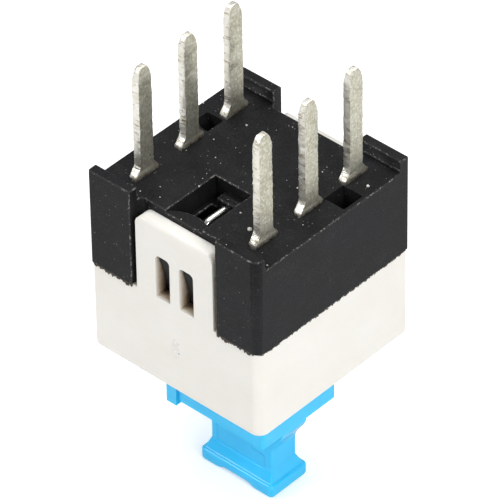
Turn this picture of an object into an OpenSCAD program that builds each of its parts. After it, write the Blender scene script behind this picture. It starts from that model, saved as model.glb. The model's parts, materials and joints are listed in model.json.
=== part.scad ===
// Self locking push switch, six flat pins, drawn pins up with the plunger end at z = 0.
// X runs across the two pin rows, Y along each row, Z from the plunger end to the pin tips.

/* [Housing] */
// height of the base top face above the plunger end
top_z = 14.6; // [12:0.1:18]
// height of the base block below its top face
base_h = 3.93; // [3:0.01:5]
// base width across X and Y
base_w = 8.5; // [7:0.05:10]
// radius of the two soft upright edges of the base, at +X -Y and at -X +Y
base_r = 0.35; // [0.1:0.05:1]
// radius of its two crisp upright edges
base_crisp = 0.1; // [0.05:0.05:1]
// how much narrower the cover is than the base across Y
cover_under = 0.14; // [0:0.02:0.3]
// radius of the two soft upright edges of the cover
cover_r = 0.45; // [0.1:0.05:1]
// radius of its two crisp upright edges
cover_crisp = 0.15; // [0.05:0.05:1]
// height of the cover box
cover_h = 4.22; // [3:0.01:6]
// thickness of the cover end wall
cover_floor = 1.0; // [0.6:0.05:1.5]
// thickness of the cover walls that face X
cover_wall_x = 0.75; // [0.5:0.01:1.2]
// thickness of the cover walls that face Y
cover_wall_y = 0.88; // [0.5:0.01:1.2]
// running gap between the plunger and the cover opening, each side
run_gap = 0.08; // [0.03:0.01:0.2]

/* [Base features] */
// thickness of the base roof
roof_t = 1.2; // [0.8:0.05:2]
// thickness of the base walls that face Y
base_wall = 1.25; // [0.8:0.05:1.5]
// depth that the inner walls reach down into the cover
skirt_h = 2.1; // [1:0.1:3]
// gap between the inner walls and the cover across X
skirt_gap_x = 0.05; // [0.02:0.01:0.2]
// gap between the inner walls and the cover along Y
skirt_gap_y = 0.1; // [0.02:0.01:0.3]
// height of the four stand-off ribs
rib_h = 0.55; // [0.2:0.01:1]
// thickness of the ribs
rib_t = 0.46; // [0.3:0.02:1]
// chamfer along the rib edges
rib_edge = 0.05; // [0.02:0.01:0.1]
// height of the small step at the foot of each rib
rib_foot = 0.15; // [0.05:0.05:0.4]
// width of that step
rib_step = 0.06; // [0.02:0.01:0.2]
// base wall left on each side of the channel that takes a cover tongue
chan_side = 2.1; // [1:0.05:3]
// depth of that channel
chan_d = 0.65; // [0.3:0.05:1]
// corner radius inside the channel
chan_r = 0.25; // [0.1:0.05:0.5]

/* [Cover tongues] */
// gap on each side of a tongue
tongue_gap = 0.21; // [0.02:0.01:0.3]
// gap behind a tongue
tongue_back = 0.02; // [0:0.01:0.1]
// distance of the tongue end below the base top face
tongue_drop = 0.34; // [0:0.01:1]
// radius of its outer top edge
tongue_edge = 0.22; // [0.05:0.01:0.4]
// corner radius of the tongue end
tongue_r = 0.45; // [0.1:0.05:1]
// window width
win_w = 0.72; // [0.4:0.02:1.2]
// distance from the middle to each window centre
win_x = 0.6; // [0.4:0.02:1.2]
// top of the windows below the base top face
win_top = 1.82; // [1:0.02:3]
// bottom of the windows below the base top face
win_bot = 3.85; // [3:0.02:4]
// radius of the upper window corners
win_r = 0.2; // [0.05:0.05:0.35]
// gap between a snap wedge and its window
snap_gap = 0.06; // [0.02:0.01:0.15]
// how far a snap wedge stands out of the channel
snap_out = 0.42; // [0.2:0.02:0.5]

/* [Top pocket] */
// half width of the pocket
pocket_hx = 0.9; // [0.5:0.05:1.5]
// length of the pocket from the channel to its far wall
pocket_len = 2.75; // [2:0.05:3]
// depth of the pocket
pocket_d = 1.03; // [0.5:0.01:1.1]
// thickness of the curved near wall at its thickest
near_wall = 0.62; // [0.3:0.02:0.7]
// radius of that curve
near_r = 1.5; // [1.2:0.05:3]
// sideways place of its thickest point
near_x = 0.15; // [-0.3:0.05:0.3]
// drop of the near wall below the base top face
near_drop = 0.13; // [0.02:0.01:0.4]
// half width of the slot through the pocket floor
slot_hx = 0.72; // [0.3:0.02:0.9]
// length of the bearing block at the far end of that slot
bear_l = 0.45; // [0.2:0.05:0.8]
// width of the bearing block
bear_w = 0.9; // [0.6:0.05:1.2]
// wall of the bearing block over the lock pin
bear_top = 0.12; // [0.05:0.01:0.2]
// how far the bearing block reaches below the roof
bear_under = 0.12; // [0:0.01:0.15]
// how far the side holes lie outside the pin rows
hole_out = 0.52; // [0.2:0.02:0.6]
// side hole size across X
hole_wx = 1.1; // [0.6:0.05:1.3]
// strip left between a side hole and each pin middle
hole_rim = 0.65; // [0.5:0.05:0.9]
// corner cut of the side holes
hole_c = 0.3; // [0.05:0.05:0.5]
// depth of the side holes
hole_d = 2.4; // [1:0.1:3]

/* [Terminals] */
// distance from a base side to the middle of its pin row
row_in = 1.25; // [1:0.05:2]
// distance from a base end to the middle of the outer pins
pin_in = 1.75; // [1.2:0.05:2.5]
// length of a pin above the base top face
pin_len = 5.1; // [2:0.1:8]
// width of a pin
pin_w = 0.7; // [0.4:0.05:1]
// thickness of the terminal strip
pin_t = 0.34; // [0.2:0.02:0.5]
// width of a pin tip
tip_w = 0.4; // [0.1:0.02:0.6]
// length of the tapered tip
tip_l = 0.75; // [0.3:0.05:1.5]
// width of the shoulder
sho_w = 1.26; // [0.8:0.02:1.4]
// height where the shoulder starts to flare
sho_top = 0.55; // [0.4:0.01:1.5]
// height of the full shoulder width
sho_h = 0.12; // [0.05:0.01:0.2]
// gap around a terminal in the base
term_gap = 0.02; // [0.005:0.005:0.05]
// depth of the common blade below the base top face
com_down = 5.5; // [4:0.1:6]
// depth of the normally closed blade below the base top face
nc_down = 5.5; // [4:0.1:6]
// length of the raised contact land on the normally closed blade
nc_land = 1.3; // [0.8:0.1:2]
// depth of the normally open blade below the base top face
no_down = 3.6; // [2:0.1:4]
// how far a blade stands proud of the inner wall
blade_proud = 0.07; // [0.02:0.01:0.2]
// how far the idle part of the closed blade is set back
nc_setback = 0.14; // [0.05:0.01:0.2]

/* [Plunger] */
// length of the plunger cap
cap_x = 3.65; // [2:0.05:5]
// width of the plunger cap
cap_y = 2.05; // [1:0.05:3]
// thickness of the cap at its rim
cap_h = 0.62; // [0.4:0.02:1]
// radius of the cap lower edges
cap_r = 0.18; // [0.05:0.01:0.3]
// radius of the cap corners seen from the end
cap_corner = 0.25; // [0.1:0.05:0.5]
// depth of the groove across the cap end
cap_groove = 0.13; // [0.05:0.01:0.3]
// width of the groove floor
cap_groove_w = 1.28; // [0.5:0.02:2]
// width of each sloping side of the groove
cap_groove_side = 0.3; // [0.1:0.05:0.5]
// stem size across X
stem_x = 3.1; // [2:0.05:4]
// stem size across Y
stem_y = 1.4; // [0.8:0.05:2]
// length of the stem between cap and platform
stem_h = 3.0; // [1:0.1:5]
// how far the flange stands out past the platform across X
flange_out_x = 0.25; // [0.1:0.05:0.5]
// how far the flange stands out past the platform across Y
flange_out_y = 0.6; // [0.1:0.05:1]
// how far the stem spreads on each side under the platform
spread_out = 0.6; // [0.2:0.05:0.7]
// height of the straight part of that spread
spread_h = 0.45; // [0.1:0.05:0.8]
// height of its sloping part
spread_rise = 1.03; // [0.3:0.01:1.5]
// depth of the sunken panel on the front of the stem
panel_d = 0.04; // [0.02:0.01:0.1]
// distance of the panel from the stem edges
panel_rim = 0.3; // [0.2:0.05:0.5]
// width of the land left beside the upper part of the panel
panel_land = 0.95; // [0.5:0.05:1.2]
// height of the lower part of the panel, which runs under that land
panel_low = 0.65; // [0.3:0.05:1.5]
// height of the whole panel
panel_h = 2.4; // [1:0.05:2.5]
// gap between the flange and the terminal faces
flange_gap_x = 0.13; // [0.05:0.01:0.3]
// gap between the flange and the base walls
flange_gap_y = 0.3; // [0.05:0.05:0.5]
// height of the retaining flange
flange_h = 0.9; // [0.5:0.05:1.5]
// share of the flange width that the upper body takes
neck_share = 0.63; // [0.5:0.01:0.7]
// height of the upper body above the flange
neck_h = 2.4; // [1:0.05:3]
// width of the guide rib
wing_w = 0.5; // [0.2:0.05:1]
// how far the guide rib stands out
wing_out = 0.12; // [0.05:0.01:0.3]
// how far the guide rib reaches past the platform
wing_drop = 0.2; // [0:0.05:0.5]
// full travel of the plunger
travel = 2.4; // [1:0.1:2.6]
// travel at which the lock holds
lock_travel = 1.7; // [1:0.1:2.3]

/* [Lock] */
// wire radius of the lock pin
wire_r = 0.2; // [0.1:0.01:0.3]
// height of the lock pin pivot below the base top face
pivot_down = 0.92; // [0.7:0.01:1]
// distance from pivot to follower
pin_arm = 3.38; // [2.5:0.01:4]
// gap between the wire body and the base wall
wire_wall_gap = 0.3; // [0.1:0.01:0.5]
// length of the pivot leg held in the base
pivot_hold = 0.3; // [0.1:0.05:0.6]
// gap left at the end of the follower leg
foll_gap = 0.1; // [0.05:0.01:0.2]
// bend radius of the wire
bend_r = 0.35; // [0.25:0.05:0.6]
// clearance of the follower in its lane
lane_gap = 0.09; // [0.05:0.01:0.2]
// share of the plunger depth that the heart shaped track takes
cam_share = 0.167; // [0.1:0.001:0.25]
// sideways reach of the track at full travel
cam_x = 0.85; // [0.4:0.05:1]
// gap around the pivot leg in the base
pivot_gap = 0.03; // [0.01:0.01:0.1]

/* [Spring and contacts] */
// outer radius of the return spring as a share of the plunger depth
spring_share = 0.25; // [0.15:0.01:0.3]
// wire radius of the return spring
spring_wire = 0.11; // [0.06:0.01:0.2]
// number of turns
spring_turns = 8; // [4:1:12]
// wall left behind the spring bore
bore_wall = 0.43; // [0.2:0.01:0.8]
// depth of the spring bore below the upper body
bore_d = 4.4; // [2:0.1:6]
// gap between spring and bore
bore_gap = 0.12; // [0.05:0.01:0.3]
// thickness of the moving contact strip
clip_t = 0.14; // [0.08:0.01:0.3]
// width of each contact finger
finger_w = 0.62; // [0.3:0.02:1]
// gap left between a contact dome and the terminal face
contact_gap = 0.03; // [0.01:0.01:0.05]
// height of the contact dome above the flange
dome_h = 1.45; // [1:0.05:2]
// height of the clip root plate
clip_root = 0.95; // [0.5:0.05:1.2]
// radius of the peg that holds a clip
peg_r = 0.3; // [0.2:0.01:0.4]

/* [Hidden] */
$fn = 48;
eps = 0.01;
base_z = top_z - base_h;
cover_x = base_w;
cover_y = base_w - cover_under;
cover_in_x = cover_x - 2 * cover_wall_x;
cover_in_y = cover_y - 2 * cover_wall_y;
base_in_y = base_w - 2 * base_wall;
row_pitch = base_w - 2 * row_in;
pin_pitch = base_w / 2 - pin_in;
chan_w = base_w - 2 * chan_side;
tongue_w = chan_w - 2 * tongue_gap;
cover_z = base_z - cover_h;
floor_z = cover_z + cover_floor;
roof_z = top_z - roof_t;
chan_y = base_w / 2 - chan_d;
tongue_y = cover_y / 2;
tongue_t = tongue_y - chan_y - tongue_back;
plat_z = cap_h + stem_h;
flange_z = floor_z + 0.03;
neck_z = flange_z + flange_h;
neck_top = neck_z + neck_h;
blade_in = row_pitch / 2 - pin_t / 2;
wall_in = blade_in + blade_proud;
skirt_t = cover_in_x / 2 - skirt_gap_x - wall_in;
skirt_y = cover_in_y - 2 * skirt_gap_y;
flange_x = 2 * (blade_in - flange_gap_x);
flange_y = base_in_y - 2 * flange_gap_y;
plat_x = flange_x - 2 * flange_out_x;
plat_y = flange_y - 2 * flange_out_y;
neck_x = flange_x * neck_share;
cam_d = plat_y * cam_share;
spring_r = plat_y * spring_share;
spring_y = plat_y / 2 - bore_wall - bore_gap - spring_r;
wire_y = -base_in_y / 2 + wire_wall_gap + wire_r;
foll_y1 = -plat_y / 2 + cam_d - foll_gap;
pocket_y1 = -chan_y + pocket_len;
slot_y1 = pocket_y1 - bear_l;
slot_y0 = wire_y - wire_r - wire_wall_gap + 0.05;
pivot_y1 = pocket_y1 + pivot_hold;
hole_x = row_pitch / 2 + hole_out;
hole_y = pin_pitch / 2;
hole_wy = pin_pitch - 2 * hole_rim;
pivot_z = top_z - pivot_down;
foll_z = pivot_z - pin_arm;
lane = wire_r + lane_gap;
tip_z = top_z + pin_len;

// which piece to draw

// upright block with round edges: r at +X -Y and -X +Y, crisp at the other two
module rbox(wx, wy, z0, z1, r, crisp) {
    x = wx / 2;
    y = wy / 2;
    translate([0, 0, z0]) linear_extrude(z1 - z0) {
        polygon([[x - r, -y], [x, -y + r], [x, y - crisp], [x - crisp, y],
                 [-x + r, y], [-x, y - r], [-x, -y + crisp], [-x + crisp, -y]]);
        for (s = [-1, 1]) {
            translate([s * (x - r), -s * (y - r)]) circle(r = r);
            translate([s * (x - crisp), s * (y - crisp)]) circle(r = crisp);
        }
    }
}

// plain box centred on x and y
module cbox(wx, wy, z0, z1) {
    translate([-wx / 2, -wy / 2, z0]) cube([wx, wy, z1 - z0]);
}

// profile in Y and Z pushed along X from x0 to x1
module along_x(x0, x1) {
    translate([x0, 0, 0]) rotate([90, 0, 90]) linear_extrude(x1 - x0) children();
}

// profile in X and Z pushed along Y from y0 to y1
module along_y(y0, y1) {
    translate([0, y1, 0]) rotate([90, 0, 0]) linear_extrude(y1 - y0) children();
}

// stand-off rib profile for the +Y side, in Y and Z
module rib_profile() {
    y1 = base_w / 2;
    y0 = y1 - rib_t;
    z1 = top_z + rib_h;
    polygon([[y0 - rib_step, top_z - eps], [y1, top_z - eps], [y1, z1 - rib_edge], [y1 - rib_edge, z1],
             [y0 + rib_edge, z1], [y0, z1 - rib_edge], [y0, top_z + rib_foot],
             [y0 - rib_step, top_z + rib_foot]]);
}

module ribs() {
    intersection() {
        for (m = [0, 1]) mirror([0, m, 0])
            for (s = [-1, 1])
                along_x(s > 0 ? chan_w / 2 : -base_w / 2, s > 0 ? base_w / 2 : -chan_w / 2) rib_profile();
        rbox(base_w, base_w, top_z - 1, top_z + 1, base_r, base_crisp);
    }
}

// channel for a tongue on the +Y side
module channel() {
    difference() {
        translate([-chan_w / 2, chan_y, base_z - eps]) cube([chan_w, chan_d + 1, base_h + 1]);
        for (s = [-1, 1]) translate([s * chan_w / 2, chan_y, base_z - 1]) difference() {
            translate([-chan_r, -chan_r, 0]) cube([2 * chan_r, 2 * chan_r, base_h + 3]);
            translate([-s * chan_r, chan_r, -1]) cylinder(r = chan_r, h = base_h + 5);
        }
    }
}

// snap wedges behind the windows on the +Y side
module snap_wedges() {
    z1 = top_z - win_top - snap_gap;
    z0 = top_z - win_bot + 0.1;
    for (s = [-1, 1])
        along_x(s * win_x - win_w / 2 + snap_gap, s * win_x + win_w / 2 - snap_gap)
            polygon([[chan_y - 0.1, z0], [chan_y + 0.02, z0], [chan_y + snap_out, z1 - 0.25],
                     [chan_y + snap_out, z1], [chan_y - 0.1, z1]]);
}

// side hole beside the pins, cut corners
module side_hole(s) {
    a = hole_wx / 2;
    b = hole_wy / 2;
    c = hole_c;
    translate([s * hole_x, hole_y, top_z - hole_d]) linear_extrude(hole_d + 1)
        polygon([[-a + c, -b], [a - c, -b], [a, -b + c], [a, b - c], [a - c, b], [-a + c, b],
                 [-a, b - c], [-a, -b + c]]);
}

// slot for one terminal through the roof and down the inner wall
module term_slot(s, y, down) {
    g = term_gap;
    translate([s * row_pitch / 2 - pin_t / 2 - g, y - sho_w / 2 - g, top_z - down])
        cube([pin_t + 2 * g, sho_w + 2 * g, down + 1]);
}

// block that the upper leg of the lock pin turns in
module bearing_block() {
    z0 = roof_z - bear_under;
    z1 = pivot_z + wire_r + pivot_gap + bear_top;
    translate([-bear_w / 2, slot_y1, z0]) cube([bear_w, bear_l + bear_top, z1 - z0]);
}

// pocket that opens into the channel on the -Y side, with a low curved near wall
module pocket() {
    translate([-pocket_hx, -chan_y - eps, top_z - pocket_d]) cube([2 * pocket_hx, pocket_len + eps, 2]);
}

module near_wall() {
    translate([near_x, -chan_y + near_wall - near_r, top_z - 2]) cylinder(r = near_r, h = 2 - near_drop);
}

module insulator_base() color([0.05, 0.05, 0.055]) difference() {
    union() {
        rbox(base_w, base_w, base_z, top_z, base_r, base_crisp);
        ribs();
        for (s = [-1, 1]) translate([s > 0 ? wall_in : -wall_in - skirt_t, -skirt_y / 2, base_z - skirt_h])
            cube([skirt_t, skirt_y, skirt_h + 0.5]);
    }
    difference() {
        cbox(2 * wall_in, base_in_y, base_z - skirt_h - 1, roof_z);
        bearing_block();
    }
    for (m = [0, 1]) mirror([0, m, 0]) difference() {
        channel();
        snap_wedges();
    }
    difference() {
        pocket();
        near_wall();
        bearing_block();
    }
    translate([-slot_hx, slot_y0, roof_z - 1]) cube([2 * slot_hx, slot_y1 - slot_y0, 1.5]);
    translate([0, pivot_y1 + 0.06, pivot_z]) rotate([90, 0, 0])
        cylinder(r = wire_r + pivot_gap, h = pivot_hold + bear_l + 0.5);
    for (s = [-1, 1]) {
        side_hole(s);
        term_slot(s, -pin_pitch, nc_down + 0.6);
        term_slot(s, 0, com_down + 0.6);
        term_slot(s, pin_pitch, no_down + 0.05);
    }
}

// tongue outline on the +Y side, in X and Z
module tongue_profile() {
    z1 = top_z - tongue_drop;
    difference() {
        union() {
            translate([-tongue_w / 2, base_z - 0.5]) square([tongue_w, z1 - tongue_r - base_z + 0.5]);
            translate([-tongue_w / 2 + tongue_r, base_z]) square([tongue_w - 2 * tongue_r, z1 - base_z]);
            for (s = [-1, 1]) translate([s * (tongue_w / 2 - tongue_r), z1 - tongue_r]) circle(r = tongue_r);
        }
        for (s = [-1, 1]) translate([s * win_x, 0]) {
            translate([-win_w / 2, top_z - win_bot]) square([win_w, win_bot - win_top - win_r]);
            translate([-win_w / 2 + win_r, top_z - win_bot]) square([win_w - 2 * win_r, win_bot - win_top]);
            for (t = [-1, 1]) translate([t * (win_w / 2 - win_r), top_z - win_top - win_r]) circle(r = win_r);
        }
    }
}

// side view of a tongue, its outer top edge rounded, in Y and Z
module tongue_side() {
    y0 = tongue_y - tongue_t;
    z1 = top_z - tongue_drop;
    e = tongue_edge;
    translate([y0, base_z - 1]) square([tongue_t, z1 - e - base_z + 1]);
    translate([y0, base_z]) square([tongue_t - e, z1 - base_z]);
    translate([tongue_y - e, z1 - e]) circle(r = e);
}

module cover_shell() color([0.94, 0.93, 0.9]) {
    gx = plat_x + 2 * run_gap;
    gy = plat_y + 2 * run_gap;
    difference() {
        rbox(cover_x, cover_y, cover_z, base_z, cover_r, cover_crisp);
        cbox(cover_in_x, cover_in_y, floor_z, base_z + 1);
        cbox(gx, gy, cover_z - 1, floor_z + 1);
        translate([-gx / 2, -gy / 2 - wing_out, cover_z - 1]) cube([wing_w + 2 * run_gap, 1, 3]);
    }
    for (m = [0, 1]) mirror([0, m, 0]) intersection() {
        along_y(tongue_y - tongue_t, tongue_y) tongue_profile();
        along_x(-tongue_w, tongue_w) tongue_side();
    }
}

// heart shaped track on the plunger face, in X and Z; the follower starts at its top
module heart_track() {
    zf = foll_z;
    zl = zf - lock_travel;
    zt = zf - travel;
    w = lane / 0.94;
    difference() {
        polygon([[-lane, zf + lane + 0.02], [lane, zf + lane + 0.02], [w + 0.03, zf],
                 [cam_x + w, zt + 0.05], [cam_x + w, zt - lane], [-cam_x - w, zt - lane],
                 [-cam_x - w, zt + 0.05], [-w - 0.03, zf]]);
        polygon([[0, zf - 0.85], [0.3, zl], [0.37, zl - 0.27], [0.2, zl - 0.1], [0, zl + lane - 0.02],
                 [-0.2, zl - 0.1], [-0.37, zl - 0.27], [-0.3, zl]]);
    }
}

// cap, flare and stem in one view, with round lower corners
module head_outline(cap, stem) {
    a = cap / 2;
    b = stem / 2;
    f = a - b;
    for (m = [0, 1]) mirror([m, 0]) {
        translate([-eps, cap_r]) square([a + eps, cap_h - cap_r]);
        translate([-eps, 0]) square([a - cap_r + eps, cap_h]);
        translate([a - cap_r, cap_r]) circle(r = cap_r);
        translate([-eps, 0]) square([b + eps, plat_z + eps]);
        difference() {
            translate([b - eps, cap_h - eps]) square([f + eps, f + eps]);
            translate([a, cap_h + f]) circle(r = f);
        }
    }
}

// the stem spreads across X where it meets the platform
module stem_spread() {
    b = stem_x / 2;
    z1 = plat_z - spread_h;
    polygon([[-b, z1 - spread_rise], [b, z1 - spread_rise], [b + spread_out, z1], [b + spread_out, plat_z + eps],
             [-b - spread_out, plat_z + eps], [-b - spread_out, z1]]);
}

// groove across the end, which leaves a pad on each side
module head_groove() {
    a = cap_groove_w / 2;
    b = a + cap_groove_side;
    polygon([[-b, -eps], [b, -eps], [a, cap_groove], [-a, cap_groove]]);
}

// front view pushed along Y, met by the side view pushed along X
module push_head() intersection() {
    along_y(-cap_y, cap_y) difference() {
        union() {
            head_outline(cap_x, stem_x);
            stem_spread();
        }
        head_groove();
    }
    along_x(-plat_x, plat_x) head_outline(cap_y, stem_y);
    union() {
        rbox(cap_x, cap_y, -1, cap_h + 0.05, cap_corner, cap_corner);
        cbox(plat_x, cap_y, cap_h, plat_z + 1);
    }
}

// sunken panel on the front of the stem, wider at its lower part
module stem_panel() {
    x0 = -stem_x / 2 + panel_rim;
    z0 = cap_h + (cap_y - stem_y) / 2 + 0.1;
    w = stem_x - 2 * panel_rim;
    translate([x0, -stem_y / 2 - 1, z0]) cube([w, 1 + panel_d, panel_low]);
    translate([x0, -stem_y / 2 - 1, z0]) cube([w + panel_rim - panel_land, 1 + panel_d, panel_h]);
}

module plunger() color([0.12, 0.5, 0.9]) difference() {
    union() {
        push_head();
        rbox(plat_x, plat_y, plat_z, flange_z + 0.2, 0.15, 0.15);
        rbox(flange_x, flange_y, flange_z, neck_z, 0.3, 0.3);
        cbox(neck_x, plat_y, neck_z - eps, neck_top);
        translate([-plat_x / 2, -plat_y / 2 - wing_out, plat_z - wing_drop])
            cube([wing_w, 0.6, flange_z + 0.1 - plat_z + wing_drop]);
        for (s = [-1, 1]) translate([s * neck_x / 2, 0, neck_z + clip_root / 2 + 0.04]) rotate([0, s * 90, 0])
            cylinder(r = peg_r, h = clip_t + 0.12);
    }
    stem_panel();
    translate([0, spring_y, neck_top - bore_d]) cylinder(r = spring_r + bore_gap, h = bore_d + 1);
    along_y(-plat_y / 2 - 1, -plat_y / 2 + cam_d) heart_track();
    translate([-cam_x - 0.4, -flange_y, flange_z - eps])
        cube([2 * cam_x + 0.8, flange_y - plat_y / 2, flange_h + neck_h]);
}

// coil made as one swept wire
module return_spring() color([0.7, 0.7, 0.72]) {
    n = 14;
    k = 7;
    rr = spring_r - spring_wire;
    z0 = neck_top - bore_d + 0.02 + spring_wire;
    z1 = roof_z - 0.02 - spring_wire;
    steps = spring_turns * n;
    // the first and last turn lie nearly flat, the rest climb evenly
    rise = [for (i = [0:steps]) let (t = i / n, e = spring_turns - 1)
        t < 1 ? t * 2 * spring_wire * 1.05
        : t > e ? z1 - z0 - (spring_turns - t) * 2 * spring_wire * 1.05
        : 2.1 * spring_wire + (t - 1) / (e - 1) * (z1 - z0 - 4.2 * spring_wire)];
    pts = [for (i = [0:steps]) let (a = 360 * i / n) for (j = [0:k - 1]) let (b = 360 * j / k)
        [(rr + spring_wire * cos(b)) * cos(a), spring_y + (rr + spring_wire * cos(b)) * sin(a),
         z0 + rise[i] + spring_wire * sin(b)]];
    side = [for (i = [0:steps - 1]) for (j = [0:k - 1])
        [i * k + j, i * k + (j + 1) % k, (i + 1) * k + (j + 1) % k, (i + 1) * k + j]];
    cap0 = [[for (j = [k - 1:-1:0]) j]];
    cap1 = [[for (j = [0:k - 1]) steps * k + j]];
    polyhedron(points = pts, faces = concat(side, cap0, cap1), convexity = 8);
}

// straight wire between two points along one axis
module wire_z(y, z0, z1) {
    translate([0, y, z0]) cylinder(r = wire_r, h = z1 - z0);
}

module wire_y(z, y0, y1) {
    translate([0, y1, z]) rotate([90, 0, 0]) cylinder(r = wire_r, h = y1 - y0);
}

module lock_pin() color([0.75, 0.75, 0.77]) {
    wire_y(pivot_z, wire_y + bend_r, pivot_y1);
    wire_z(wire_y, foll_z + bend_r, pivot_z - bend_r);
    wire_y(foll_z, wire_y + bend_r, foll_y1);
    translate([0, wire_y + bend_r, pivot_z - bend_r]) rotate([90, 0, 90]) rotate([0, 0, 90])
        rotate_extrude(angle = 90) translate([bend_r, 0]) circle(r = wire_r);
    translate([0, wire_y + bend_r, foll_z + bend_r]) rotate([90, 0, 90]) rotate([0, 0, 180])
        rotate_extrude(angle = 90) translate([bend_r, 0]) circle(r = wire_r);
}

// one side of the moving contact, for +X
module contact_clip() color([0.8, 0.6, 0.3]) {
    x0 = neck_x / 2 + 0.01;
    xd = blade_in - contact_gap;
    z0 = neck_z + 0.02;
    zr = neck_z + clip_root;
    zd = neck_z + dome_h;
    t = clip_t;
    difference() {
        translate([x0, -pin_pitch - finger_w / 2, z0]) cube([t, 2 * pin_pitch + finger_w, zr - z0]);
        translate([0, 0, neck_z + clip_root / 2 + 0.04]) rotate([0, 90, 0]) cylinder(r = peg_r + 0.02, h = 5);
    }
    for (i = [-1:1]) along_y(i * pin_pitch - finger_w / 2, i * pin_pitch + finger_w / 2)
        polygon([[x0, zr - 0.05], [x0 + t, zr - 0.05], [x0 + t + 0.1, zr + 0.05], [xd - 0.12, zd - 0.14],
                 [xd, zd - 0.05], [xd, zd + 0.05], [xd - 0.12, zd + 0.16], [xd - 0.4, zd + 0.5],
                 [xd - 0.51, zd + 0.42], [xd - 0.22, zd + 0.08], [xd - 0.16, zd], [xd - 0.22, zd - 0.04],
                 [x0 + 0.12, zr + 0.12]]);
}

module contact_clip_left() mirror([1, 0, 0]) contact_clip();

module contact_clip_right() contact_clip();

// pin, shoulder and inner blade in Y and Z, centred on y = 0
module terminal_profile(down) {
    a = pin_w / 2;
    b = sho_w / 2;
    c = tip_w / 2;
    polygon([[-c, tip_z], [c, tip_z], [a - 0.03, tip_z - tip_l * 0.75], [a, tip_z - tip_l], [a, top_z + sho_top],
             [a + 0.05, top_z + sho_top - 0.12], [b - 0.04, top_z + sho_h + 0.06], [b, top_z + sho_h],
             [b, top_z - down], [-b, top_z - down], [-b, top_z + sho_h], [-b + 0.04, top_z + sho_h + 0.06],
             [-a - 0.05, top_z + sho_top - 0.12], [-a, top_z + sho_top], [-a, tip_z - tip_l],
             [-a + 0.03, tip_z - tip_l * 0.75]]);
}

// terminal on the +X side; kind 0 closed, 1 common, 2 open
module terminal(kind) color([0.72, 0.71, 0.66]) {
    down = kind == 0 ? nc_down : kind == 1 ? com_down : no_down;
    translate([0, (kind - 1) * pin_pitch, 0]) difference() {
        along_x(row_pitch / 2 - pin_t / 2, row_pitch / 2 + pin_t / 2) terminal_profile(down);
        if (kind == 0)
            translate([blade_in - 1, -1, top_z - nc_down + nc_land]) cube([1 + nc_setback, 2, nc_down - nc_land - roof_t]);
        translate([0, 0, top_z - down]) along_y(-1, 1)
            polygon([[blade_in - 0.1, -0.1], [blade_in + 0.15, -0.1], [blade_in - 0.1, 0.2]]);
    }
}

module terminal_nc_left() mirror([1, 0, 0]) terminal(0);

module terminal_com_left() mirror([1, 0, 0]) terminal(1);

module terminal_no_left() mirror([1, 0, 0]) terminal(2);

module terminal_nc_right() terminal(0);

module terminal_com_right() terminal(1);

module terminal_no_right() terminal(2);

insulator_base();
cover_shell();
plunger();
return_spring();
lock_pin();
contact_clip_left();
contact_clip_right();
terminal_nc_left();
terminal_com_left();
terminal_no_left();
terminal_nc_right();
terminal_com_right();
terminal_no_right();
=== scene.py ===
# Self locking push switch, dressed for the photograph's view: pins up, plunger down.
# Every mesh is worked in millimetres and scaled to metres once, in the CAD model's own frame.
import json
import math

import bmesh
import bpy
from mathutils import Matrix, Vector, noise

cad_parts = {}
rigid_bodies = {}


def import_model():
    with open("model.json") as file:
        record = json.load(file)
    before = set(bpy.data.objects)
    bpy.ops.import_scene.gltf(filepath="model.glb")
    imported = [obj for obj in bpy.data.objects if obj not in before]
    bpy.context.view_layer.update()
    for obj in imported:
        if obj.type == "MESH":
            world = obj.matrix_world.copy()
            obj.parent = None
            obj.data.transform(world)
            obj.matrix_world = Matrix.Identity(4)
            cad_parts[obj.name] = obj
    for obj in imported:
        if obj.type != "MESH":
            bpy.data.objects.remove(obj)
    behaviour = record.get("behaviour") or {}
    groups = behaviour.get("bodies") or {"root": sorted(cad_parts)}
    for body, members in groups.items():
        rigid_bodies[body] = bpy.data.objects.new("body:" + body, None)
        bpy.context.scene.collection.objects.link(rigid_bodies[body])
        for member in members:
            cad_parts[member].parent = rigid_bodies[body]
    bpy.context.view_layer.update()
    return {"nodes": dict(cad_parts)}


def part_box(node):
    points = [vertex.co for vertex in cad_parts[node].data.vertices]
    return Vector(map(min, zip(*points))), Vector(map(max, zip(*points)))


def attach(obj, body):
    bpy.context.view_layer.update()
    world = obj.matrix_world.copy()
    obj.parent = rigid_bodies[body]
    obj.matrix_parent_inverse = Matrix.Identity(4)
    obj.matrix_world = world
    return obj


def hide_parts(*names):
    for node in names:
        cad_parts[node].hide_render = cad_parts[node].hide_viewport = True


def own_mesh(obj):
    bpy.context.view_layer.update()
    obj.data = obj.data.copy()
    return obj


for leftover in list(bpy.data.objects):
    bpy.data.objects.remove(leftover)
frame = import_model()
MM = 0.001

# Black base.
# The insulator base is one moulding of black plastic that carries the six terminals. Its edges are
# slightly rounded and rubbed grey, ragged flash hangs below its lower edges at the front and back, and
# pale dust lies on its faces, with grains and crumbs of it on the top.


def open_cad(node):
    """A merged copy of a CAD node in millimetres, with its flat faces made whole again."""
    bm = bmesh.new()
    bm.from_mesh(frame["nodes"][node].data)
    bmesh.ops.scale(bm, vec=(1 / MM,) * 3, verts=bm.verts)
    bmesh.ops.remove_doubles(bm, verts=bm.verts, dist=1e-4)
    bmesh.ops.dissolve_limit(bm, angle_limit=math.radians(0.6), verts=bm.verts, edges=bm.edges)
    bm.normal_update()
    return bm


SKIN, RUBBED, GRIT, FLASH = range(4)  # the material slots of the base; other pieces use SKIN alone


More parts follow.
